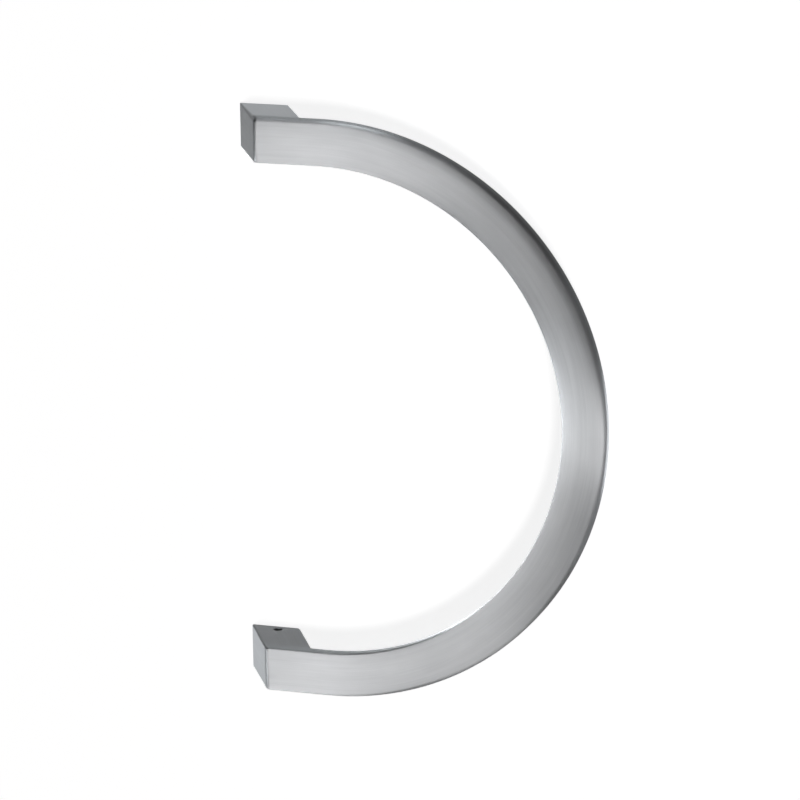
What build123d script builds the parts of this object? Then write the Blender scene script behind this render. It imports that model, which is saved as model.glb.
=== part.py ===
from build123d import *
import os
from math import cos, radians, sin, sqrt, tan

# A half-round panel pull on two raked feet, in satin stainless steel.
# Sizes are in millimetres. The door's face is the plane Y = 0, with the handle on its -Y side.
# +X is the side that the bow stands out to, and +Z is up.
# The origin lies on the door's face, midway between the two fixing axes.

# The bow: one bar with a crowned front, bent edgewise into half a ring with a straight run at each end
fixing_centres = 300.0
bar_width = 25.0
bar_thickness = 8.0
crown_radius = 70.0
outer_edge_radius = 2.5
inner_edge_radius = 1.0
straight_run = 35.0
end_radius = 3.0
back_chamfer = 0.8

# The feet: square bar, raked in plan, cut flush at the door and welded to the back of the bow
projection = 40.0
foot_width = 25.0
foot_rake = 30.0
weld_radius = 1.2

# The spigots: turned bushes that bolt to the door and carry the feet
spigot_diameter = 14.0
spigot_length = 12.0
spigot_chamfer = 0.6
spigot_clearance = 0.1
bore_end_clearance = 1.0
bore_chamfer = 0.4
fixing_thread = 8.0
fixing_thread_pitch = 1.25
fixing_chamfer = 0.6

# The grub screws: one through the inner face of each foot, tightened on its spigot's groove
grub_diameter = 5.0
grub_length = 5.0
grub_from_door = 5.0
grub_chamfer = 0.5
grub_point_diameter = 2.8
grub_point_length = 0.9
grub_socket_flats = 2.5
grub_socket_depth = 2.4
grub_thread_clearance = 0.05
grub_hole_chamfer = 0.3
groove_depth = 1.0
groove_side_clearance = 0.4

# Worked out from the sizes above
slope = tan(radians(foot_rake))
footprint = foot_width / cos(radians(foot_rake))
reach_behind_bow = projection - bar_thickness
crown_height = crown_radius - sqrt(crown_radius**2 - (bar_width / 2) ** 2)
crown_edge = -projection + crown_height
foot_middle_at_door = -grub_from_door * slope
foot_left = foot_middle_at_door - footprint / 2
foot_right = foot_middle_at_door + footprint / 2
front_left = foot_left + projection * slope
bend_centre = front_left + straight_run
bend_radius = fixing_centres / 2
bore_radius = spigot_diameter / 2 + spigot_clearance
bore_depth = spigot_length + bore_end_clearance
tapping_radius = (fixing_thread - fixing_thread_pitch) / 2
groove_radius = spigot_diameter / 2 - groove_depth
groove_width = grub_diameter + 2 * groove_side_clearance
foot_signs = {"upper": 1, "lower": -1}


def bar_section(sign):
    """The bar's section at the start of the bend: a crowned front and a flat back, sharp all round."""
    middle = sign * bend_radius
    below = middle - bar_width / 2
    above = middle + bar_width / 2
    back = -reach_behind_bow
    with BuildSketch(Plane.YZ.offset(bend_centre)) as section:
        with BuildLine():
            Polyline((crown_edge, below), (back, below), (back, above), (crown_edge, above))
            ThreePointArc((crown_edge, above), (-projection, middle), (crown_edge, below))
        make_face()
    return section.sketch


def half_ring():
    """The bent part of the bow: the bar's section turned half a circle about the bend's axis."""
    return revolve(bar_section(1), axis=Axis((bend_centre, 0, 0), (0, 1, 0)), revolution_arc=180)


def straight_end(sign):
    """The bar from the bend to its end, cut in line with the foot's outer side."""
    run = extrude(bar_section(sign), amount=foot_left - bend_centre)
    return split(run, bisect_by=outer_side_of_foot(), keep=Keep.TOP)


def foot(sign):
    """One square bar between the door and the back of the bow, drawn in plan."""
    shift = reach_behind_bow * slope
    with BuildPart() as piece:
        with BuildSketch(Plane.XY.offset(sign * fixing_centres / 2)):
            with BuildLine():
                Polyline(
                    (foot_left, 0),
                    (foot_right, 0),
                    (foot_right + shift, -reach_behind_bow),
                    (foot_left + shift, -reach_behind_bow),
                    close=True,
                )
            make_face()
        extrude(amount=bar_width / 2, both=True)
    return piece.part


def outer_side_of_foot():
    """The raked plane that each foot's outer side shares with the bow's end."""
    rake = radians(foot_rake)
    return Plane((foot_left, 0, 0), x_dir=(0, 0, 1), z_dir=(cos(rake), sin(rake), 0))


def is_at_outer_side(edge):
    """True for an edge that lies in the feet's outer side."""
    side = outer_side_of_foot()
    return all(abs(side.to_local_coords(edge @ place).Z) < 0.001 for place in (0, 0.5, 1))


def is_behind_bow(edge):
    """True for an edge of a foot or of the bow's back."""
    return edge.center().Y > -reach_behind_bow - 0.001


def is_upright(edge):
    """True for an edge that runs along Z."""
    return edge.geom_type == GeomType.LINE and abs(edge.tangent_at(0).Z) > 0.999


def is_at_bend(edge):
    """True for an edge where a straight face runs smoothly into a bent one."""
    return abs(edge.center().X - bend_centre) < 0.001


def is_at_door(edge):
    """True for an edge of a foot's cut face, which stays crisp."""
    return edge.center().Y > -0.001


def end_edges(body):
    """The sharp front edge across each end of the bow."""
    return [edge for edge in body.edges() if is_at_outer_side(edge) and edge.center().Y < crown_edge]


def bend_edge(body, side):
    """The sharp edge along the front of the bend: its outer one for side = 1, its inner one for side = -1.

    A fillet on it runs on along the straight runs, over the bow's ends and down the feet's outer sides."""
    radius = bend_radius + side * bar_width / 2
    arcs = body.edges().filter_by(GeomType.CIRCLE).filter_by(lambda arc: abs(arc.radius - radius) < 0.01)
    return arcs.sort_by(Axis.Y)[0]


def back_edges(body):
    """The sharp edges of the bow's back and of the feet's inner sides, apart from those at the door."""
    chosen = []
    for edge in body.edges():
        if is_at_door(edge) or is_at_bend(edge) or is_upright(edge) or is_at_outer_side(edge):
            continue
        if is_behind_bow(edge):
            chosen.append(edge)
    return chosen


def weld_corners(body):
    """The upright inner corner between each foot and the back of the bow."""
    corner_x = foot_right + reach_behind_bow * slope
    corners = []
    for edge in body.edges():
        middle = edge.center()
        if is_upright(edge) and abs(middle.X - corner_x) < 0.01 and abs(middle.Y + reach_behind_bow) < 0.01:
            corners.append(edge)
    return corners


def spigot_bore(sign):
    """The blind bore in a foot's cut face, with a small lead-in chamfer."""
    height = sign * fixing_centres / 2
    profile = [
        (0, 0),
        (bore_radius + bore_chamfer, 0),
        (bore_radius, -bore_chamfer),
        (bore_radius, -bore_depth),
        (0, -bore_depth),
    ]
    return turned(profile, Plane.XY.offset(height), Axis((0, 0, height), (0, 1, 0)))


def grub_hole(sign):
    """The tapped hole from a foot's inner face to the bore, with a countersunk mouth."""
    mouth = fixing_centres / 2 - bar_width / 2
    radius = grub_diameter / 2
    profile = [
        (0, mouth),
        (radius + grub_hole_chamfer, mouth),
        (radius, mouth + grub_hole_chamfer),
        (radius, fixing_centres / 2),
        (0, fixing_centres / 2),
    ]
    return upright_turned(profile, sign)


def turned(profile, plane, axis):
    """A solid turned from a closed profile."""
    with BuildPart() as piece:
        with BuildSketch(plane):
            with BuildLine():
                Polyline(*profile, close=True)
            make_face()
        revolve(axis=axis)
    return piece.part


def upright_turned(profile, sign):
    """A solid turned about a grub screw's axis, drawn for the upper foot and mirrored for the lower."""
    plane = Plane((0, -grub_from_door, 0), x_dir=(1, 0, 0), z_dir=(0, -1, 0))
    solid = turned(profile, plane, Axis((0, -grub_from_door, 0), (0, 0, 1)))
    if sign < 0:
        return mirror(solid, about=Plane.XY)
    return solid


def make_handle_body():
    """The bow and both feet as one ground and polished piece, bored and tapped for its fixings."""
    body = half_ring()
    for sign in foot_signs.values():
        body += straight_end(sign)
        body += foot(sign)
    body = fillet(weld_corners(body), weld_radius)
    body = fillet(end_edges(body), end_radius)
    body = fillet(bend_edge(body, 1), outer_edge_radius)
    body = fillet(bend_edge(body, -1), inner_edge_radius)
    body = chamfer(back_edges(body), back_chamfer)
    for sign in foot_signs.values():
        body -= spigot_bore(sign)
        body -= grub_hole(sign)
    return body


def make_spigot(sign):
    """A turned bush, tapped right through, with a flat groove round it for the grub screw.

    The bolt's side has a countersunk mouth, and the far end has a chamfer that leads the foot over it."""
    height = sign * fixing_centres / 2
    outside = spigot_diameter / 2
    near_side = -grub_from_door + groove_width / 2
    far_side = -grub_from_door - groove_width / 2
    profile = [
        (tapping_radius + fixing_chamfer, 0),
        (outside, 0),
        (outside, near_side),
        (groove_radius, near_side),
        (groove_radius, far_side),
        (outside, far_side),
        (outside, -spigot_length + spigot_chamfer),
        (outside - spigot_chamfer, -spigot_length),
        (tapping_radius, -spigot_length),
        (tapping_radius, -fixing_chamfer),
    ]
    return turned(profile, Plane.XY.offset(height), Axis((0, 0, height), (0, 1, 0)))


def make_grub_screw(sign):
    """A socket screw that stands on the groove's floor and ends inside the foot."""
    seat = fixing_centres / 2 - groove_radius
    outer_end = seat - grub_length
    radius = grub_diameter / 2 - grub_thread_clearance
    profile = [
        (0, seat),
        (grub_point_diameter / 2, seat),
        (radius, seat - grub_point_length),
        (radius, outer_end + grub_chamfer),
        (radius - grub_chamfer, outer_end),
        (0, outer_end),
    ]
    screw = upright_turned(profile, 1)
    with BuildPart() as socket:
        with BuildSketch(Plane((0, -grub_from_door, outer_end))):
            RegularPolygon(grub_socket_flats / 2, 6, major_radius=False)
        extrude(amount=grub_socket_depth)
    screw -= socket.part
    if sign < 0:
        return mirror(screw, about=Plane.XY)
    return screw


def main():
    os.makedirs("parts", exist_ok=True)
    export_step(make_handle_body(), "parts/handle_body.step")
    for name, sign in foot_signs.items():
        export_step(make_spigot(sign), f"parts/{name}_spigot.step")
    grub_screws = Compound(children=[make_grub_screw(sign) for sign in foot_signs.values()])
    export_step(grub_screws, "parts/grub_screws.step")


main()
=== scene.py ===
from math import cos, pi, radians, sin, tan

import bmesh
import bpy
from mathutils import Matrix, Vector


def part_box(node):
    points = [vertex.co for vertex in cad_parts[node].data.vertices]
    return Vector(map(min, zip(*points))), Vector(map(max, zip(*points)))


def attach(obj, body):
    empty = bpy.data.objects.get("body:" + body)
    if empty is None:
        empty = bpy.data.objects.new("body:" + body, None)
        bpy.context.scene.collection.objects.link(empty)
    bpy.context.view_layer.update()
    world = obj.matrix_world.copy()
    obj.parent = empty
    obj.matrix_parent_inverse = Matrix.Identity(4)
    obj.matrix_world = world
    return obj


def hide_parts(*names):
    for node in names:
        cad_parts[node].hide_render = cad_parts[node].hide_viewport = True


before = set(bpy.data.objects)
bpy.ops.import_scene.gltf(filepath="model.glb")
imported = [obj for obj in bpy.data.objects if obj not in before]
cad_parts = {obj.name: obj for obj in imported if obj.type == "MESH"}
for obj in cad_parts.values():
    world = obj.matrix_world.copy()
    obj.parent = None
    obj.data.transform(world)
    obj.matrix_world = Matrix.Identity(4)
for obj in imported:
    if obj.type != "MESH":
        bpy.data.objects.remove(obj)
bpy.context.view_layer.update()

# Sizes are in metres. The door's face is the plane Y = 0, the handle stands on its -Y side,
# +X is the side that the bow stands out to, and +Z is up.
BODY_LOW, BODY_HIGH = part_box("handle_body")
OUTER_RADIUS = (BODY_HIGH.z - BODY_LOW.z) / 2
BAR_WIDTH = 0.025
BAR_THICKNESS = 0.008
BACK_CHAMFER = 0.0008
CROWN_RADIUS = 0.07
OUTER_EDGE_RADIUS = 0.0025
INNER_EDGE_RADIUS = 0.001
END_ROUNDING = 0.003
FOOT_RAKE = radians(30)
BEND_CENTRE_X = BODY_HIGH.x - OUTER_RADIUS
BEND_RADIUS = OUTER_RADIUS - BAR_WIDTH / 2
BEND_CENTRE = (BEND_CENTRE_X, 0.0, 0.0)
BACK_OF_BOW = BODY_LOW.y + BAR_THICKNESS
CROWN_EDGE = BODY_LOW.y + CROWN_RADIUS - (CROWN_RADIUS**2 - (BAR_WIDTH / 2) ** 2) ** 0.5

# The sharp corner, in X and Y, that the rounding across each end of the bow takes off
FRONT_CORNER = (BODY_LOW.x - BODY_LOW.y * tan(FOOT_RAKE), BODY_LOW.y)

# Where the crown is split into strips, measured across the bar from its middle line
CROWN_LINES = (
    -0.0109, -0.0102, -0.0095, -0.0088, -0.008, -0.0058, -0.0043, -0.0014,
    0.0001, 0.003, 0.0045, 0.0067, 0.0074, 0.0081, 0.0088, 0.0095,
)

# The shoulders that are ground lower on the bend. Side is 1 for the outer one and -1 for the inner one,
# and edge is that side's edge radius. Start is measured from the bar's middle line. The middle of the
# ground stretch and its reach each way are in degrees.
GROUND_SHOULDERS = (
    {"side": 1.0, "edge": OUTER_EDGE_RADIUS, "start": 0.0055, "depth": 0.0013, "middle": 38, "reach": 52},
    {"side": -1.0, "edge": INNER_EDGE_RADIUS, "start": 0.0075, "depth": 0.00045, "middle": 0, "reach": 90},
)

# The share of the foot's round outer corner that is left at the door, where it is crisper than on the bow
CORNER_AT_DOOR = 0.25
BEND_STEPS = 150
JOIN_GAP = 0.000002
SLIVER = JOIN_GAP / 20
CREASE_ANGLE = radians(50)

# The fixings in each foot
FIXING_HEIGHT = BEND_RADIUS
TAPPING_RADIUS = 0.003375
BOLT_PITCH = 0.00125
BOLT_THREAD_DEPTH = 0.0006
BOLT_MOUTH = 0.0006
SPIGOT_LENGTH = 0.012
GRUB_AXIS_Y = -0.005
GRUB_PITCH = 0.0008
GRUB_HOLE_RADIUS = 0.0025
GRUB_HOLE_MOUTH = FIXING_HEIGHT - BAR_WIDTH / 2 + 0.0003
GRUB_HOLE_THREAD_LENGTH = 0.0011
GRUB_HOLE_END = 0.1455
GRUB_SCREW_RADIUS = 0.00245
GRUB_SCREW_OUTER_END = 0.139
GRUB_SCREW_CHAMFER = 0.0005
GRUB_SCREW_THREAD_LENGTH = 0.0036
GRUB_THREAD_DEPTH = 0.00038
THREAD_STEPS = 8

# The share of a thread's pitch that is flat on each side of its crest and of its root
THREAD_FLAT = 0.06

# The photograph's view, as a camera that looks at a point on the door's face
VIEW_AZIMUTH = radians(19.3)
VIEW_ELEVATION = radians(14.53)
VIEW_ROLL = radians(0.86)
VIEW_DISTANCE = 2.447
VIEW_AIM = Vector((0.0733, 0.0, 0.0001))
SENSOR_WIDTH_MM = 36
FOCAL_LENGTH_MM = 199.4

# The noise scale of the fine brush lines and turned rings, per metre
FINE_LINES = 5200

# How far a brushed or turned finish draws its shine out, and the quarter turn that sets it across the marks
SHINE_SPREAD = 0.95
ACROSS_MARKS = 0.25

# From the front corner, how far the end band is full and where it is gone
END_BAND_FULL = END_ROUNDING * 0.35
END_BAND_GONE = END_ROUNDING * 0.75

# From the grub screws' axis, how far their ends are rubbed bright, where that is gone, and how uneven it is
RUBBED_FULL = 0.0015
RUBBED_GONE = 0.0019
RUBBED_UNEVEN = 0.0004

STEEL_DARK = (0.515, 0.53, 0.545)
STEEL_LIGHT = (0.675, 0.69, 0.705)
# The round edge across each end of the bow is painted darker than the rest, as painted shade
END_BAND_SHADED_STEEL = (0.5, 0.51, 0.52)
# The grub screw holes' walls, painted near black as the shade inside the holes
HOLE_SHADE_DARK = (0.03, 0.03, 0.032)
HOLE_SHADE_LIGHT = (0.09, 0.09, 0.095)
GROUND_DARK = (0.42, 0.42, 0.425)
GROUND_LIGHT = (0.6, 0.595, 0.59)
TURNED_DARK = (0.52, 0.51, 0.485)
TURNED_LIGHT = (0.68, 0.67, 0.64)
OXIDE_DARK = (0.035, 0.035, 0.04)
OXIDE_LIGHT = (0.1, 0.1, 0.105)
RUBBED_STEEL = (0.4, 0.4, 0.4)

# How far the wall lies behind the feet, how far the stage reaches, and how far down the floor is
WALL_GAP = 0.0004
STAGE_REACH = 3.0
FLOOR_DROP = 0.15
STAGE_SHADE = 0.5
WALL_GLOW = 0.858
FLOOR_GLOW = 0.5
BACK_GLOW = 0.205

# Boxes beyond these angles, at the sides, above and behind, are a little cooler than the front ones
COOL_WHITE = (0.965, 1.0, 1.03)
WARM_WHITE = (1.0, 0.987, 0.984)
SIDE_AZIMUTH = 60
OVERHEAD_ELEVATION = 50

# Name, azimuth, elevation, distance, width, height, power: degrees, metres and watts. Most of the places and
# powers, and BACK_GLOW, come from a fit of such boxes to the photograph's brightness, and are rounded. The
# rest are set one by one.
SOFT_BOXES = (
    ("front", -17, -7, 2.4, 0.55, 0.55, 4.1),
    ("front_left", -30, -7, 2.4, 0.55, 0.55, 2.5),
    ("front_high", -17, 6, 2.4, 0.55, 0.55, 1.9),
    ("front_low", -17, -33, 2.4, 0.55, 0.55, 2.2),
    ("front_below", -36, -57, 2.4, 0.55, 0.55, 2.0),
    ("right", 30, -15, 2.4, 1.9, 0.6, 6.9),
    ("right_low", 26, -40, 2.4, 0.85, 0.85, 1.5),
    ("right_side", 90, -22, 2.4, 0.6, 2.5, 3.7),
    ("right_high", 80, 20, 2.4, 0.85, 0.85, 0.5),
    ("left", -45, -15, 2.4, 0.6, 0.6, 2.0),
    ("left_side", -69, -20, 2.4, 0.55, 0.55, 6.3),
    ("left_low", -77, -40, 2.4, 0.85, 0.85, 2.7),
    ("below", 20, -60, 2.4, 0.85, 0.85, 3.3),
    ("below_left", -60, -60, 2.4, 0.85, 0.85, 6.4),
    ("above", 20, 60, 2.4, 0.85, 0.85, 1.0),
    ("above_left", -60, 80, 2.4, 0.85, 0.85, 7.1),
    ("behind_left", -140, -20, 2.4, 0.85, 0.85, 2.2),
    ("behind_low", -155, -8, 2.4, 0.6, 0.6, 12),
    ("behind_high", -160, 14, 2.4, 0.6, 0.6, 0.25),
    ("behind_above", -150, 30, 0.7, 0.25, 0.25, 0.06),
    ("behind_right", 160, -15, 2.4, 0.85, 0.6, 6.8),
)
SHADOW_LAMP = ("shadow_lamp", 24, -3.2, 10, 1.25, 1.25, 320)

# The small box inside the ring: width, height and power, and where it stands
RING_GLOW = (0.03, 0.055, 0.03)
RING_GLOW_PLACE = Vector((BEND_CENTRE_X + 0.02, BODY_LOW.y + 0.003, -0.056))


def add(tree, kind, **settings):
    """A node of that kind with its settings."""
    node = tree.nodes.new(kind)
    for name, value in settings.items():
        setattr(node, name, value)
    return node


def feed(tree, socket, value):
    """Gives a socket a link or a constant."""
    if isinstance(value, bpy.types.NodeSocket):
        tree.links.new(value, socket)
    else:
        socket.default_value = value


def math(tree, operation, *values, clamp=False):
    """A Math node's result."""
    node = add(tree, "ShaderNodeMath", operation=operation, use_clamp=clamp)
    for socket, value in zip(node.inputs, values):
        feed(tree, socket, value)
    return node.outputs[0]


def vector_math(tree, operation, *values):
    """A Vector Math node's vector result."""
    node = add(tree, "ShaderNodeVectorMath", operation=operation)
    for socket, value in zip(node.inputs, values):
        feed(tree, socket, value)
    return node.outputs["Vector"]


def scaled(tree, vector, factor):
    """The vector times a number."""
    node = add(tree, "ShaderNodeVectorMath", operation="SCALE")
    feed(tree, node.inputs[0], vector)
    feed(tree, node.inputs["Scale"], factor)
    return node.outputs["Vector"]


def dot(tree, a, b):
    """The dot product of two vectors."""
    node = add(tree, "ShaderNodeVectorMath", operation="DOT_PRODUCT")
    feed(tree, node.inputs[0], a)
    feed(tree, node.inputs[1], b)
    return node.outputs["Value"]


def length(tree, vector):
    """The length of a vector."""
    node = add(tree, "ShaderNodeVectorMath", operation="LENGTH")
    feed(tree, node.inputs[0], vector)
    return node.outputs["Value"]


def combine(tree, x, y, z):
    """A vector from three numbers."""
    node = add(tree, "ShaderNodeCombineXYZ")
    for socket, value in zip(node.inputs, (x, y, z)):
        feed(tree, socket, value)
    return node.outputs[0]


# Shapes


def geometry_tree(name, sizes):
    """An empty Geometry Nodes tree with named inputs, and the sockets that give them."""
    tree = bpy.data.node_groups.new(name, "GeometryNodeTree")
    tree.is_modifier = True
    tree.interface.new_socket("Geometry", in_out="INPUT", socket_type="NodeSocketGeometry")
    for label, kind in sizes.items():
        tree.interface.new_socket(label, in_out="INPUT", socket_type=kind)
    tree.interface.new_socket("Finish", in_out="INPUT", socket_type="NodeSocketMaterial")
    tree.interface.new_socket("Geometry", in_out="OUTPUT", socket_type="NodeSocketGeometry")
    return tree, add(tree, "NodeGroupInput").outputs


def open_rim(tree, body, near):
    """The closed curve along the body's open edge where the field `near` is true."""
    neighbours = add(tree, "GeometryNodeInputMeshEdgeNeighbors").outputs["Face Count"]
    is_open = add(tree, "FunctionNodeCompare", data_type="INT", operation="EQUAL")
    feed(tree, is_open.inputs[2], neighbours)
    feed(tree, is_open.inputs[3], 1)
    both = add(tree, "FunctionNodeBooleanMath", operation="AND")
    feed(tree, both.inputs[0], is_open.outputs[0])
    feed(tree, both.inputs[1], near)
    rim = add(tree, "GeometryNodeMeshToCurve")
    feed(tree, rim.inputs["Mesh"], body)
    feed(tree, rim.inputs["Selection"], both.outputs[0])
    return rim.outputs[0]


def swept_grid(tree, rim, steps):
    """A grid with one column for each point of the rim and one row for each step.

    Gives the grid, each point's row, and the place of its column's point on the rim."""
    size = add(tree, "GeometryNodeAttributeDomainSize", component="CURVE")
    feed(tree, size.inputs[0], rim)
    points = size.outputs["Point Count"]
    columns = math(tree, "ADD", points, 1)
    grid = add(tree, "GeometryNodeMeshGrid")
    feed(tree, grid.inputs["Vertices X"], math(tree, "ADD", steps, 1))
    feed(tree, grid.inputs["Vertices Y"], columns)
    index = add(tree, "GeometryNodeInputIndex").outputs[0]
    row = math(tree, "FLOOR", math(tree, "DIVIDE", index, columns))
    column = math(tree, "MODULO", math(tree, "MODULO", index, columns), points)
    place = add(tree, "GeometryNodeSampleIndex", data_type="FLOAT_VECTOR", domain="POINT")
    feed(tree, place.inputs["Geometry"], rim)
    feed(tree, place.inputs["Value"], add(tree, "GeometryNodeInputPosition").outputs[0])
    feed(tree, place.inputs["Index"], column)
    return grid.outputs["Mesh"], row, place.outputs[0]


def end_tree(tree, geometry, finish):
    """Makes the result real and gives the whole its finish."""
    real = add(tree, "GeometryNodeRealizeInstances")
    feed(tree, real.inputs[0], geometry)
    painted = add(tree, "GeometryNodeSetMaterial")
    feed(tree, painted.inputs["Geometry"], real.outputs[0])
    feed(tree, painted.inputs["Material"], finish)
    feed(tree, add(tree, "NodeGroupOutput").inputs[0], painted.outputs[0])
    return tree


def finish_tree(tree, body, skin, position, gap, finish):
    """Moves the skin's points to their places and joins it to the body."""
    placed = add(tree, "GeometryNodeSetPosition")
    feed(tree, placed.inputs["Geometry"], skin)
    feed(tree, placed.inputs["Position"], position)
    joined = add(tree, "GeometryNodeJoinGeometry")
    tree.links.new(body, joined.inputs[0])
    tree.links.new(placed.outputs[0], joined.inputs[0])
    merged = add(tree, "GeometryNodeMergeByDistance")
    feed(tree, merged.inputs["Geometry"], joined.outputs[0])
    feed(tree, merged.inputs["Distance"], gap)
    return end_tree(tree, merged.outputs[0], finish)


def bend_tree():
    """Turns the bar's section at the upper end of the bend through half a circle, down to the lower end."""
    sizes = {"Bend centre": "NodeSocketVector", "Steps": "NodeSocketInt", "Join gap": "NodeSocketFloat"}
    tree, given = geometry_tree("bend_of_the_bow", sizes)
    height = add(tree, "ShaderNodeSeparateXYZ")
    feed(tree, height.inputs[0], add(tree, "GeometryNodeInputPosition").outputs[0])
    is_upper = add(tree, "FunctionNodeCompare", data_type="FLOAT", operation="GREATER_THAN")
    feed(tree, is_upper.inputs[0], height.outputs["Z"])
    feed(tree, is_upper.inputs[1], 0.0)
    section = open_rim(tree, given["Geometry"], is_upper.outputs[0])
    skin, row, place = swept_grid(tree, section, given["Steps"])
    turned = add(tree, "ShaderNodeVectorRotate", rotation_type="AXIS_ANGLE")
    feed(tree, turned.inputs["Vector"], place)
    feed(tree, turned.inputs["Center"], given["Bend centre"])
    feed(tree, turned.inputs["Axis"], (0, 1, 0))
    share = math(tree, "DIVIDE", row, given["Steps"])
    feed(tree, turned.inputs["Angle"], math(tree, "MULTIPLY", share, pi))
    return finish_tree(tree, given["Geometry"], skin, turned.outputs[0], given["Join gap"], given["Finish"])


def shoulder_tree():
    """Grinds one shoulder of the bow lower along a stretch of the bend, most of all in its middle.

    Side is 1 for the bow's outer shoulder and -1 for its inner one."""
    sizes = {"Bend centre": "NodeSocketVector"}
    for label in ("Bend radius", "Half width", "Side", "Start", "Depth", "Lowest", "Middle", "Reach"):
        sizes[label] = "NodeSocketFloat"
    tree, given = geometry_tree("ground_shoulder", sizes)
    position = add(tree, "GeometryNodeInputPosition").outputs[0]
    arm = add(tree, "ShaderNodeSeparateXYZ")
    feed(tree, arm.inputs[0], vector_math(tree, "SUBTRACT", position, given["Bend centre"]))
    x, y, z = arm.outputs
    past_bend = math(tree, "MAXIMUM", x, 0.0)
    angle = math(tree, "ARCTAN2", z, past_bend)
    away = math(tree, "ABSOLUTE", math(tree, "SUBTRACT", angle, given["Middle"]))
    share = math(tree, "MINIMUM", math(tree, "DIVIDE", away, given["Reach"]), 1.0)
    amount = math(tree, "COSINE", math(tree, "MULTIPLY", share, pi / 2))
    radius = length(tree, combine(tree, past_bend, 0.0, z))
    from_middle = math(tree, "SUBTRACT", radius, given["Bend radius"])
    past_start = math(tree, "SUBTRACT", math(tree, "MULTIPLY", from_middle, given["Side"]), given["Start"])
    width = math(tree, "SUBTRACT", given["Half width"], given["Start"])
    rise = math(tree, "POWER", math(tree, "DIVIDE", math(tree, "MAXIMUM", past_start, 0.0), width), 2.0)
    on_front = math(tree, "LESS_THAN", y, given["Lowest"])
    depth = math(tree, "MULTIPLY", on_front, given["Depth"])
    move = math(tree, "MULTIPLY", math(tree, "MULTIPLY", amount, rise), depth)
    moved = add(tree, "GeometryNodeSetPosition")
    feed(tree, moved.inputs["Geometry"], given["Geometry"])
    feed(tree, moved.inputs["Offset"], combine(tree, 0.0, move, 0.0))
    return end_tree(tree, moved.outputs[0], given["Finish"])


def thread_tree():
    """Lines the open stretch of a round wall with a right-hand thread, from the rim at its start.

    A depth above zero cuts outward from the axis and one below zero inward. It fades at both ends."""
    sizes = {
        "Start": "NodeSocketVector",
        "Axis": "NodeSocketVector",
        "Length": "NodeSocketFloat",
        "Pitch": "NodeSocketFloat",
        "Depth": "NodeSocketFloat",
        "Steps a turn": "NodeSocketInt",
        "Join gap": "NodeSocketFloat",
    }
    tree, given = geometry_tree("screw_thread", sizes)
    axis = given["Axis"]
    here = add(tree, "GeometryNodeInputPosition").outputs[0]
    from_start = vector_math(tree, "SUBTRACT", here, given["Start"])
    at_start = add(tree, "FunctionNodeCompare", data_type="FLOAT", operation="LESS_THAN")
    feed(tree, at_start.inputs[0], math(tree, "ABSOLUTE", dot(tree, from_start, axis)))
    feed(tree, at_start.inputs[1], given["Join gap"])
    rim = open_rim(tree, given["Geometry"], at_start.outputs[0])
    turns = math(tree, "DIVIDE", given["Length"], given["Pitch"])
    steps = math(tree, "CEIL", math(tree, "MULTIPLY", turns, given["Steps a turn"]))
    skin, row, place = swept_grid(tree, rim, steps)
    arm = vector_math(tree, "SUBTRACT", place, given["Start"])
    outward = vector_math(tree, "NORMALIZE", arm)
    side = (1, 0, 0)
    other_side = vector_math(tree, "CROSS_PRODUCT", axis, side)
    angle = math(tree, "ARCTAN2", dot(tree, outward, other_side), dot(tree, outward, side))
    along = math(tree, "MULTIPLY", math(tree, "DIVIDE", row, steps), given["Length"])
    turn = math(tree, "DIVIDE", angle, 2 * pi)
    phase = math(tree, "SUBTRACT", math(tree, "DIVIDE", along, given["Pitch"]), turn)
    valley = math(tree, "PINGPONG", phase, 0.5)
    shape = add(tree, "ShaderNodeMapRange")
    feed(tree, shape.inputs["Value"], valley)
    feed(tree, shape.inputs["From Min"], THREAD_FLAT)
    feed(tree, shape.inputs["From Max"], 0.5 - THREAD_FLAT)
    to_end = math(tree, "MINIMUM", along, math(tree, "SUBTRACT", given["Length"], along))
    fade = math(tree, "DIVIDE", to_end, given["Pitch"], clamp=True)
    depth = math(tree, "MULTIPLY", math(tree, "MULTIPLY", given["Depth"], shape.outputs[0]), fade)
    reach = math(tree, "ADD", length(tree, arm), depth)
    on_axis = vector_math(tree, "ADD", given["Start"], scaled(tree, axis, along))
    position = vector_math(tree, "ADD", on_axis, scaled(tree, outward, reach))
    return finish_tree(tree, given["Geometry"], skin, position, given["Join gap"], given["Finish"])


def apply_tree(piece, tree, sizes):
    """Runs a tree on the piece with those sizes and keeps the result as its plain mesh."""
    change = piece.modifiers.new(tree.name, "NODES")
    change.node_group = tree
    for item in tree.interface.items_tree:
        if item.in_out == "INPUT" and item.name in sizes:
            change[item.identifier] = sizes[item.name]
    bpy.context.view_layer.update()
    result = bpy.data.meshes.new_from_object(piece.evaluated_get(bpy.context.evaluated_depsgraph_get()))
    piece.modifiers.remove(change)
    old = piece.data
    piece.data = result
    bpy.data.meshes.remove(old)


def joined_shape(node_name):
    """A CAD node's mesh with its loose triangles joined, ready to be cut."""
    shape = bmesh.new()
    shape.from_mesh(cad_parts[node_name].data)
    bmesh.ops.remove_doubles(shape, verts=shape.verts, dist=JOIN_GAP)
    return shape


def new_piece(name, shape, finish):
    """A new object from the cut shape, with its first finish."""
    mesh = bpy.data.meshes.new(name)
    shape.to_mesh(mesh)
    shape.free()
    if "custom_normal" in mesh.attributes:
        mesh.attributes.remove(mesh.attributes["custom_normal"])
    mesh.materials.clear()
    mesh.materials.append(finish)
    piece = bpy.data.objects.new(name, mesh)
    bpy.context.scene.collection.objects.link(piece)
    return piece


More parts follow.
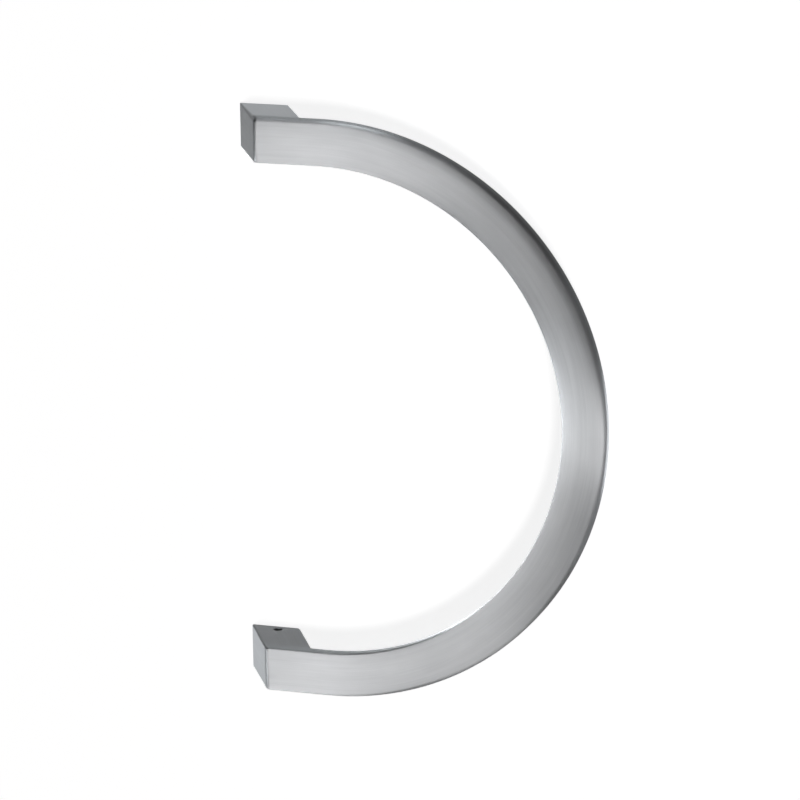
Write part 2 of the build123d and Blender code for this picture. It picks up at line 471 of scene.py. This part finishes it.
def tidy_skin(piece):
    """Faces out, no slivers, smooth over rounded edges and crisp at real ones."""
    shape = bmesh.new()
    shape.from_mesh(piece.data)
    bmesh.ops.dissolve_degenerate(shape, edges=shape.edges, dist=SLIVER)
    bmesh.ops.recalc_face_normals(shape, faces=shape.faces)
    shape.to_mesh(piece.data)
    shape.free()
    piece.data.name = piece.name
    piece.data.shade_smooth()
    piece.data.set_sharp_from_angle(angle=CREASE_ANGLE)
    weights = piece.modifiers.new("even_shading", "WEIGHTED_NORMAL")
    weights.keep_sharp = True
    weights.weight = 100


def stand_for(piece, node_name):
    """The piece takes a CAD node's place."""
    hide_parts(node_name)
    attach(piece, "root")


def grub_axis_distance(place):
    """How far a point is from the grub screws' axis."""
    return (place.x**2 + (place.y - GRUB_AXIS_Y) ** 2) ** 0.5


def all_of(shape):
    """Everything that a shape is made of."""
    return shape.verts[:] + shape.edges[:] + shape.faces[:]


def crown_reach(edge_radius):
    """How far the crown runs from the bar's middle line to where an edge of that radius begins."""
    return (BAR_WIDTH / 2 - edge_radius) * CROWN_RADIUS / (CROWN_RADIUS - edge_radius)


def edge_foot(edge_radius):
    """The level at which a round edge of that radius meets the bar's side."""
    inside = CROWN_RADIUS - edge_radius
    return BODY_LOW.y + CROWN_RADIUS - (inside**2 - (BAR_WIDTH / 2 - edge_radius) ** 2) ** 0.5


def is_on_crown(vert):
    """True for a point of the crowned front, apart from its round edges and end."""
    inner = -crown_reach(INNER_EDGE_RADIUS) - JOIN_GAP
    outer = crown_reach(OUTER_EDGE_RADIUS) + JOIN_GAP
    end_x = BODY_LOW.x - vert.co.y * tan(FOOT_RAKE) + END_ROUNDING / 2
    in_width = inner < vert.co.z - BEND_RADIUS < outer
    return in_width and vert.co.x > end_x and vert.co.y < CROWN_EDGE + JOIN_GAP


def refine_crown(shape):
    """Splits the crowned front into narrower strips along the bar, and sets them on the true crown."""
    for line in CROWN_LINES:
        strip = [face for face in shape.faces if all(is_on_crown(vert) for vert in face.verts)]
        parts = set(strip)
        for face in strip:
            parts.update(face.edges)
            parts.update(face.verts)
        bmesh.ops.bisect_plane(
            shape, geom=list(parts), dist=JOIN_GAP, plane_co=(0, 0, BEND_RADIUS + line), plane_no=(0, 0, 1)
        )
    for vert in shape.verts:
        if is_on_crown(vert):
            from_middle = vert.co.z - BEND_RADIUS
            vert.co.y = BODY_LOW.y + CROWN_RADIUS - (CROWN_RADIUS**2 - from_middle**2) ** 0.5


def sharpen_corner_at_door(shape):
    """Draws the foot's round outer corner in to a crisper one where it meets the door."""
    for vert in shape.verts:
        from_side = (vert.co.x - BODY_LOW.x) * cos(FOOT_RAKE)
        from_top = BODY_HIGH.z - vert.co.z
        if vert.co.y > -JOIN_GAP and max(from_side, from_top) < OUTER_EDGE_RADIUS + JOIN_GAP:
            vert.co.x = BODY_LOW.x + from_side * CORNER_AT_DOOR / cos(FOOT_RAKE)
            vert.co.z = BODY_HIGH.z - from_top * CORNER_AT_DOOR


def cut_off_bend(shape):
    """Keeps the bow's upper end, up to where the bend starts, and mirrors it below."""
    for place, outward in (((BEND_CENTRE_X, 0, 0), (1, 0, 0)), ((0, 0, 0), (0, 0, -1))):
        bmesh.ops.bisect_plane(
            shape, geom=all_of(shape), dist=JOIN_GAP, plane_co=place, plane_no=outward, clear_outer=True
        )
    refine_crown(shape)
    sharpen_corner_at_door(shape)
    half_flat = BAR_WIDTH / 2 - BACK_CHAMFER - JOIN_GAP
    spare = []
    for vert in shape.verts:
        # A point between the chamfers of the cut end's back edge, which is straight there
        on_back = vert.co.y > BACK_OF_BOW - JOIN_GAP
        if vert.is_boundary and on_back and abs(vert.co.z - BEND_RADIUS) < half_flat:
            spare.append(vert)
    bmesh.ops.dissolve_verts(shape, verts=spare)
    bmesh.ops.mirror(shape, geom=all_of(shape), matrix=Matrix(), merge_dist=JOIN_GAP, axis="Z")


def cut_out_grub_walls(piece):
    """Takes the plain wall out of both grub screw holes."""
    shape = bmesh.new()
    shape.from_mesh(piece.data)
    walls = []
    for face in shape.faces:
        middle = face.calc_center_median()
        in_hole = GRUB_HOLE_MOUTH < abs(middle.z) < GRUB_HOLE_END
        if in_hole and grub_axis_distance(middle) < GRUB_HOLE_RADIUS + JOIN_GAP:
            walls.append(face)
    bmesh.ops.delete(shape, geom=walls, context="FACES")
    shape.to_mesh(piece.data)
    shape.free()


def close_grub_walls(piece):
    """Plain wall from each tapped stretch of the grub screw holes to the bore."""
    shape = bmesh.new()
    shape.from_mesh(piece.data)
    for sign in (1, -1):
        rims = [edge for edge in shape.edges if edge.is_boundary and edge.verts[0].co.z * sign > 0]
        bmesh.ops.bridge_loops(shape, edges=rims)
    shape.to_mesh(piece.data)
    shape.free()


def cut_thread(piece, threads, start, axis, size, finish):
    """Cuts a thread along the axis, from the open rim at its start. Size is its length, pitch and depth."""
    sizes = {
        "Start": start,
        "Axis": axis,
        "Length": size[0],
        "Pitch": size[1],
        "Depth": size[2],
        "Steps a turn": THREAD_STEPS,
        "Join gap": JOIN_GAP,
        "Finish": finish,
    }
    apply_tree(piece, threads, sizes)


def grind_shoulder(piece, shoulder, ground, finish):
    """Grinds one of the bend's shoulders lower."""
    sizes = {
        "Bend centre": BEND_CENTRE,
        "Bend radius": BEND_RADIUS,
        "Half width": BAR_WIDTH / 2,
        "Side": ground["side"],
        "Start": ground["start"],
        "Depth": ground["depth"],
        "Lowest": edge_foot(ground["edge"]) + JOIN_GAP,
        "Middle": radians(ground["middle"]),
        "Reach": radians(ground["reach"]),
        "Finish": finish,
    }
    apply_tree(piece, shoulder, sizes)


def make_handle(satin, ground, hole_shade, threads, bend, shoulder):
    """The body: the CAD's two ends, a finely stepped bend between them, and tapped grub screw holes."""
    shape = joined_shape("handle_body")
    cut_off_bend(shape)
    piece = new_piece("handle", shape, satin)
    ring = {"Bend centre": BEND_CENTRE, "Steps": BEND_STEPS, "Join gap": JOIN_GAP, "Finish": satin}
    apply_tree(piece, bend, ring)
    for stretch in GROUND_SHOULDERS:
        grind_shoulder(piece, shoulder, stretch, satin)
    cut_out_grub_walls(piece)
    thread = (GRUB_HOLE_THREAD_LENGTH, GRUB_PITCH, -GRUB_THREAD_DEPTH)
    for sign in (1.0, -1.0):
        mouth = (0.0, GRUB_AXIS_Y, sign * GRUB_HOLE_MOUTH)
        cut_thread(piece, threads, mouth, (0.0, 0.0, sign), thread, satin)
    close_grub_walls(piece)
    tidy_skin(piece)
    paint_cut_faces(piece, ground, hole_shade)
    stand_for(piece, "handle_body")


def paint_cut_faces(piece, ground, hole_shade):
    """The feet's faces on the door get the ground finish, and the grub screw holes' walls a near-black one,
    which is painted shade.
    """
    piece.data.materials.append(ground)
    piece.data.materials.append(hole_shade)
    for face in piece.data.polygons:
        if face.normal.y > 0.99 and face.center.y > -JOIN_GAP:
            face.material_index = 1
        in_hole = GRUB_HOLE_MOUTH - JOIN_GAP < abs(face.center.z) < GRUB_HOLE_END
        if in_hole and grub_axis_distance(face.center) < GRUB_HOLE_RADIUS + JOIN_GAP:
            # The grub screw holes' walls get the near-black painted shade
            face.material_index = 2


def make_spigot(node_name, sign, finish, threads):
    """A turned spigot with its bolt thread cut."""
    shape = joined_shape(node_name)
    walls = []
    for face in shape.faces:
        middle = face.calc_center_median()
        reach = (middle.x**2 + (middle.z - sign * FIXING_HEIGHT) ** 2) ** 0.5
        if reach < TAPPING_RADIUS and abs(face.normal.y) < 0.5:
            walls.append(face)
    bmesh.ops.delete(shape, geom=walls, context="FACES")
    piece = new_piece(node_name + "_tapped", shape, finish)
    mouth = (0.0, -BOLT_MOUTH, sign * FIXING_HEIGHT)
    thread = (SPIGOT_LENGTH - BOLT_MOUTH, BOLT_PITCH, BOLT_THREAD_DEPTH)
    cut_thread(piece, threads, mouth, (0.0, -1.0, 0.0), thread, finish)
    tidy_skin(piece)
    stand_for(piece, node_name)


def make_grub_screws(finish, threads):
    """Both grub screws with their threads cut."""
    shape = joined_shape("grub_screws")
    start = GRUB_SCREW_OUTER_END + GRUB_SCREW_CHAMFER
    walls = []
    for face in shape.faces:
        middle = face.calc_center_median()
        on_wall = start < abs(middle.z) < start + GRUB_SCREW_THREAD_LENGTH
        if on_wall and grub_axis_distance(middle) > GRUB_SCREW_RADIUS * 0.9:
            walls.append(face)
    bmesh.ops.delete(shape, geom=walls, context="FACES")
    piece = new_piece("grub_screws_threaded", shape, finish)
    thread = (GRUB_SCREW_THREAD_LENGTH, GRUB_PITCH, -GRUB_THREAD_DEPTH)
    for sign in (1.0, -1.0):
        cut_thread(piece, threads, (0.0, GRUB_AXIS_Y, sign * start), (0.0, 0.0, sign), thread, finish)
    tidy_skin(piece)
    stand_for(piece, "grub_screws")


# Finishes


def new_finish(name):
    """A material with an empty tree."""
    material = bpy.data.materials.new(name)
    material.use_nodes = True
    material.node_tree.nodes.clear()
    return material, material.node_tree


def mix_vector(tree, factor, a, b):
    """Vector a where the factor is 0 and b where it is 1."""
    node = add(tree, "ShaderNodeMix", data_type="VECTOR")
    feed(tree, node.inputs[0], factor)
    feed(tree, node.inputs[4], a)
    feed(tree, node.inputs[5], b)
    return node.outputs[1]


def mix_colour(tree, factor, a, b):
    """Colour a where the factor is 0 and b where it is 1, each a link or a constant."""
    node = add(tree, "ShaderNodeMix", data_type="RGBA")
    feed(tree, node.inputs[0], factor)
    for socket, colour in ((node.inputs[6], a), (node.inputs[7], b)):
        feed(tree, socket, (*colour, 1) if isinstance(colour, tuple) else colour)
    return node.outputs[2]


def mix_tones(tree, *shares):
    """The sum of some tones, each times its share."""
    parts = [math(tree, "MULTIPLY", tone, share) for tone, share in shares]
    total = parts[0]
    for part in parts[1:]:
        total = math(tree, "ADD", total, part)
    return total


def noise(tree, vector, scales, detail):
    """A noise texture's value, with its own scale along each axis, per metre."""
    node = add(tree, "ShaderNodeTexNoise")
    feed(tree, node.inputs["Vector"], vector_math(tree, "MULTIPLY", vector, scales))
    feed(tree, node.inputs["Scale"], 1.0)
    feed(tree, node.inputs["Detail"], detail)
    feed(tree, node.inputs["Roughness"], 0.55)
    return node.outputs["Fac"]


def between(tree, value, low, high, to_low=0.0, to_high=1.0):
    """The value's range from low to high, spread over another range and held there."""
    node = add(tree, "ShaderNodeMapRange")
    labels = ("Value", "From Min", "From Max", "To Min", "To Max")
    for label, setting in zip(labels, (value, low, high, to_low, to_high)):
        feed(tree, node.inputs[label], setting)
    return node.outputs[0]


def metal(tree, colour, roughness, grain, height, height_size, spread=SHINE_SPREAD):
    """A brushed or turned metal whose marks run along the grain, with fine relief.

    The spread is how far its shine is drawn out across the grain."""
    shader = add(tree, "ShaderNodeBsdfPrincipled")
    feed(tree, shader.inputs["Base Color"], colour)
    feed(tree, shader.inputs["Metallic"], 1.0)
    feed(tree, shader.inputs["Roughness"], roughness)
    if grain is not None:
        feed(tree, shader.inputs["Anisotropic"], spread)
        feed(tree, shader.inputs["Anisotropic Rotation"], ACROSS_MARKS)
        feed(tree, shader.inputs["Tangent"], grain)
    bump = add(tree, "ShaderNodeBump")
    feed(tree, bump.inputs["Strength"], 0.5)
    feed(tree, bump.inputs["Distance"], height_size)
    feed(tree, bump.inputs["Height"], height)
    feed(tree, shader.inputs["Normal"], bump.outputs[0])
    output = add(tree, "ShaderNodeOutputMaterial")
    feed(tree, output.inputs[0], shader.outputs[0])


def object_place(tree):
    """The position in the handle's own frame, and its three parts."""
    position = add(tree, "ShaderNodeTexCoord").outputs["Object"]
    split = add(tree, "ShaderNodeSeparateXYZ")
    feed(tree, split.inputs[0], position)
    return position, split.outputs


def brushed_place(tree):
    """The brushing's direction, and a place measured along it, across it and through the bar."""
    position, (x, y, z) = object_place(tree)
    past_bend = math(tree, "MAXIMUM", math(tree, "SUBTRACT", x, BEND_CENTRE_X), 0.0)
    before_bend = math(tree, "MINIMUM", math(tree, "SUBTRACT", x, BEND_CENTRE_X), 0.0)
    radial = combine(tree, past_bend, 0.0, z)
    along_bow = vector_math(tree, "NORMALIZE", vector_math(tree, "CROSS_PRODUCT", (0, 1, 0), radial))
    angle = math(tree, "ARCTAN2", z, past_bend)
    run = math(tree, "MULTIPLY", math(tree, "SIGN", z), math(tree, "MULTIPLY", before_bend, -1.0))
    bow_length = math(tree, "ADD", math(tree, "MULTIPLY", angle, BEND_RADIUS), run)
    bow_place = combine(tree, bow_length, length(tree, radial), y)
    foot_axis = (sin(FOOT_RAKE), -cos(FOOT_RAKE), 0)
    foot_across = (cos(FOOT_RAKE), sin(FOOT_RAKE), 0)
    foot_place = combine(tree, dot(tree, position, foot_axis), dot(tree, position, foot_across), z)
    in_foot = math(tree, "GREATER_THAN", y, BACK_OF_BOW)
    return mix_vector(tree, in_foot, along_bow, foot_axis), mix_vector(tree, in_foot, bow_place, foot_place)


def end_band(tree, parts):
    """1 on the round edge across each end of the bow, fading to 0 beside it."""
    along = math(tree, "SUBTRACT", parts["X"], FRONT_CORNER[0])
    back = math(tree, "SUBTRACT", parts["Y"], FRONT_CORNER[1])
    away = length(tree, combine(tree, along, back, 0.0))
    return between(tree, away, END_BAND_FULL, END_BAND_GONE, 1.0, 0.0)


def satin_steel():
    """Stainless steel brushed along the bow and along each foot.

    Fine lines, wider streaks and slow patches vary its tone and gloss. On the round edge across each end
    the marks run in no one direction, and the steel there is painted darker as shade."""
    material, tree = new_finish("satin_stainless")
    grain, place = brushed_place(tree)
    parts = object_place(tree)[1]
    lines = noise(tree, place, (30, FINE_LINES, FINE_LINES), 2.0)
    streaks = noise(tree, place, (14, 420, 420), 2.0)
    patches = noise(tree, place, (22, 60, 60), 3.0)
    marks = mix_tones(tree, (lines, 0.3), (streaks, 0.3))
    tone = math(tree, "ADD", marks, math(tree, "MULTIPLY", patches, 0.4))
    colour = mix_colour(tree, between(tree, tone, 0.3, 0.7), STEEL_DARK, STEEL_LIGHT)
    band = end_band(tree, parts)
    # The round edge across each end is painted darker: painted shade
    colour = mix_colour(tree, band, colour, END_BAND_SHADED_STEEL)
    roughness = between(tree, marks, 0.15, 0.45, 0.36, 0.44)
    roughness = between(tree, band, 0.0, 1.0, roughness, 0.42)
    spread = between(tree, band, 0.0, 1.0, SHINE_SPREAD, 0.0)
    metal(tree, colour, roughness, grain, lines, 0.000004, spread)
    return material


def hole_shade_steel():
    """A tapped hole's dull wall, painted near black as the shade inside the hole."""
    material, tree = new_finish("hole_wall_painted_shade")
    position = object_place(tree)[0]
    mottle = noise(tree, position, (900, 900, 2400), 3.0)
    colour = mix_colour(tree, mottle, HOLE_SHADE_DARK, HOLE_SHADE_LIGHT)
    metal(tree, colour, between(tree, mottle, 0.3, 0.7, 0.45, 0.6), None, mottle, 0.00001)
    return material


def ground_steel():
    """The feet's cut faces, ground flat on a belt that ran along X."""
    material, tree = new_finish("ground_stainless")
    position = object_place(tree)[0]
    lines = noise(tree, position, (40, 300, 3600), 3.0)
    coarse = noise(tree, position, (60, 60, 900), 2.0)
    tone = mix_tones(tree, (lines, 0.6), (coarse, 0.4))
    colour = mix_colour(tree, between(tree, tone, 0.3, 0.7), GROUND_DARK, GROUND_LIGHT)
    metal(tree, colour, between(tree, tone, 0.3, 0.7, 0.34, 0.5), (1, 0, 0), lines, 0.00001)
    return material


def turned_steel():
    """Steel turned on a lathe, with rings on its faces and round its sides."""
    material, tree = new_finish("turned_steel")
    position, (x, y, z) = object_place(tree)
    from_axis = math(tree, "SUBTRACT", z, math(tree, "MULTIPLY", math(tree, "SIGN", z), FIXING_HEIGHT))
    arm = combine(tree, x, 0.0, from_axis)
    around = vector_math(tree, "NORMALIZE", vector_math(tree, "CROSS_PRODUCT", (0, 1, 0), arm))
    place = combine(tree, length(tree, arm), y, 0.0)
    rings = noise(tree, place, (FINE_LINES, FINE_LINES, 1), 2.0)
    clouds = noise(tree, position, (260, 260, 260), 3.0)
    tone = mix_tones(tree, (rings, 0.6), (clouds, 0.4))
    colour = mix_colour(tree, between(tree, tone, 0.3, 0.7), TURNED_DARK, TURNED_LIGHT)
    metal(tree, colour, between(tree, tone, 0.3, 0.7, 0.26, 0.4), around, rings, 0.000008)
    return material


def dark_oxide():
    """Blackened steel, mottled, and rubbed bright round the socket."""
    material, tree = new_finish("screw_steel")
    position, (x, y, z) = object_place(tree)
    mottle = noise(tree, position, (1400, 1400, 1400), 4.0)
    wear_edge = noise(tree, position, (3000, 3000, 3000), 2.0)
    at_end = math(tree, "LESS_THAN", math(tree, "ABSOLUTE", z), GRUB_SCREW_OUTER_END + 0.00005)
    reach = length(tree, combine(tree, x, math(tree, "SUBTRACT", y, GRUB_AXIS_Y), 0.0))
    uneven = math(tree, "ADD", reach, math(tree, "MULTIPLY", wear_edge, RUBBED_UNEVEN))
    near_socket = between(tree, uneven, RUBBED_FULL, RUBBED_GONE, 1.0, 0.0)
    black = mix_colour(tree, mottle, OXIDE_DARK, OXIDE_LIGHT)
    colour = mix_colour(tree, math(tree, "MULTIPLY", at_end, near_socket), black, RUBBED_STEEL)
    roughness = between(tree, mottle, 0.3, 0.7, 0.34, 0.52)
    metal(tree, colour, roughness, None, mottle, 0.00001)
    return material


# The studio


def make_camera():
    """The photograph's camera."""
    data = bpy.data.cameras.new("photo_camera")
    data.sensor_width = SENSOR_WIDTH_MM
    data.lens = FOCAL_LENGTH_MM
    camera = bpy.data.objects.new("photo_camera", data)
    bpy.context.scene.collection.objects.link(camera)
    turn = Matrix.Rotation(VIEW_AZIMUTH, 3, "Z") @ Matrix.Rotation(-VIEW_ELEVATION, 3, "X")
    turn = turn @ Matrix.Rotation(VIEW_ROLL, 3, "Y")
    right, forward, up = turn.col
    camera.matrix_world = Matrix.LocRotScale(
        VIEW_AIM - forward * VIEW_DISTANCE, Matrix((right, up, -forward)).transposed(), None
    )
    bpy.context.scene.camera = camera


def area_light(name, width, height, power):
    """A rectangular soft light, set so that the metal alone shows it."""
    data = bpy.data.lights.new(name, "AREA")
    data.shape = "RECTANGLE"
    data.size = width
    data.size_y = height
    data.energy = power
    light = bpy.data.objects.new(name, data)
    bpy.context.scene.collection.objects.link(light)
    light.visible_camera = False
    light.visible_diffuse = False
    return light


def soft_box(name, azimuth, elevation, distance, width, height, power):
    """A soft light that faces the front of the bow's middle.

    Azimuth 0 is straight in front of the door and grows towards +X."""
    light = area_light(name, width, height, power)
    from_side = abs(azimuth) > SIDE_AZIMUTH or elevation > OVERHEAD_ELEVATION
    light.data.color = COOL_WHITE if from_side else WARM_WHITE
    level = cos(radians(elevation))
    turn = radians(azimuth)
    towards = Vector((sin(turn) * level, -cos(turn) * level, sin(radians(elevation))))
    light.location = Vector((BEND_CENTRE_X, BODY_LOW.y, 0)) + towards * distance
    light.rotation_euler = towards.to_track_quat("Z", "Y").to_euler()
    return light


def one_sided(name, shade, glow):
    """A pale surface that isn't seen from behind."""
    material, tree = new_finish(name)
    diffuse = add(tree, "ShaderNodeBsdfDiffuse")
    feed(tree, diffuse.inputs["Color"], (shade, shade, shade, 1))
    emission = add(tree, "ShaderNodeEmission")
    feed(tree, emission.inputs["Strength"], glow)
    both = add(tree, "ShaderNodeAddShader")
    feed(tree, both.inputs[0], diffuse.outputs[0])
    feed(tree, both.inputs[1], emission.outputs[0])
    clear = add(tree, "ShaderNodeBsdfTransparent")
    behind = add(tree, "ShaderNodeNewGeometry").outputs["Backfacing"]
    shown = add(tree, "ShaderNodeMixShader")
    feed(tree, shown.inputs[0], behind)
    feed(tree, shown.inputs[1], both.outputs[0])
    feed(tree, shown.inputs[2], clear.outputs[0])
    output = add(tree, "ShaderNodeOutputMaterial")
    feed(tree, output.inputs[0], shown.outputs[0])
    return material


def stage_plane(name, corners, material):
    """A flat part of the stage, which the metal doesn't show."""
    mesh = bpy.data.meshes.new(name)
    mesh.from_pydata([Vector(corner) for corner in corners], [], [(0, 1, 2, 3)])
    mesh.materials.append(material)
    plane = bpy.data.objects.new(name, mesh)
    bpy.context.scene.collection.objects.link(plane)
    plane.visible_glossy = False
    plane.visible_diffuse = False
    plane.visible_transmission = False
    plane.visible_shadow = False


def make_stage():
    """The door's face as a pale wall, and a pale floor below it."""
    floor_z = BODY_LOW.z - FLOOR_DROP
    turns = ((-1, -1), (1, -1), (1, 1), (-1, 1))
    wall = [(a * STAGE_REACH, WALL_GAP, b * STAGE_REACH) for a, b in turns]
    floor = [(a * STAGE_REACH, b * STAGE_REACH, floor_z) for a, b in turns]
    stage_plane("wall", wall, one_sided("pale_wall", STAGE_SHADE, WALL_GLOW))
    stage_plane("floor", floor, one_sided("pale_floor", STAGE_SHADE, FLOOR_GLOW))


def make_world():
    """A white surround for the camera, and a soft glow from the door's side for the metal."""
    world = bpy.data.worlds.new("studio")
    bpy.context.scene.world = world
    world.use_nodes = True
    tree = world.node_tree
    tree.nodes.clear()
    seen = add(tree, "ShaderNodeBackground")
    feed(tree, seen.inputs["Color"], (1, 1, 1, 1))
    split = add(tree, "ShaderNodeSeparateXYZ")
    feed(tree, split.inputs[0], add(tree, "ShaderNodeTexCoord").outputs["Generated"])
    lit = add(tree, "ShaderNodeBackground")
    feed(tree, lit.inputs["Color"], (1, 1, 1, 1))
    feed(tree, lit.inputs["Strength"], between(tree, split.outputs["Y"], 0.0, 0.4, 0.0, BACK_GLOW))
    to_camera = add(tree, "ShaderNodeLightPath").outputs["Is Camera Ray"]
    either = add(tree, "ShaderNodeMixShader")
    feed(tree, either.inputs[0], to_camera)
    feed(tree, either.inputs[1], lit.outputs[0])
    feed(tree, either.inputs[2], seen.outputs[0])
    output = add(tree, "ShaderNodeOutputWorld")
    feed(tree, output.inputs[0], either.outputs[0])


def make_lights():
    """Soft boxes that the metal shows, and one lamp that casts the handle's shadow on the door.

    One small box is upright inside the ring and faces the bend's inner edge."""
    for box in SOFT_BOXES:
        soft_box(*box)
    glow = area_light("ring_glow", *RING_GLOW)
    glow.location = RING_GLOW_PLACE
    glow.rotation_euler = Vector((1, 0, 0)).to_track_quat("-Z", "Y").to_euler()
    lamp = soft_box(*SHADOW_LAMP)
    lamp.visible_diffuse = True
    lamp.visible_glossy = False


satin = satin_steel()
threads = thread_tree()
make_handle(satin, ground_steel(), hole_shade_steel(), threads, bend_tree(), shoulder_tree())
turned = turned_steel()
make_spigot("upper_spigot", 1.0, turned, threads)
make_spigot("lower_spigot", -1.0, turned, threads)
make_grub_screws(dark_oxide(), threads)
make_camera()
make_stage()
make_world()
make_lights()
bpy.context.scene.view_settings.view_transform = "Standard"
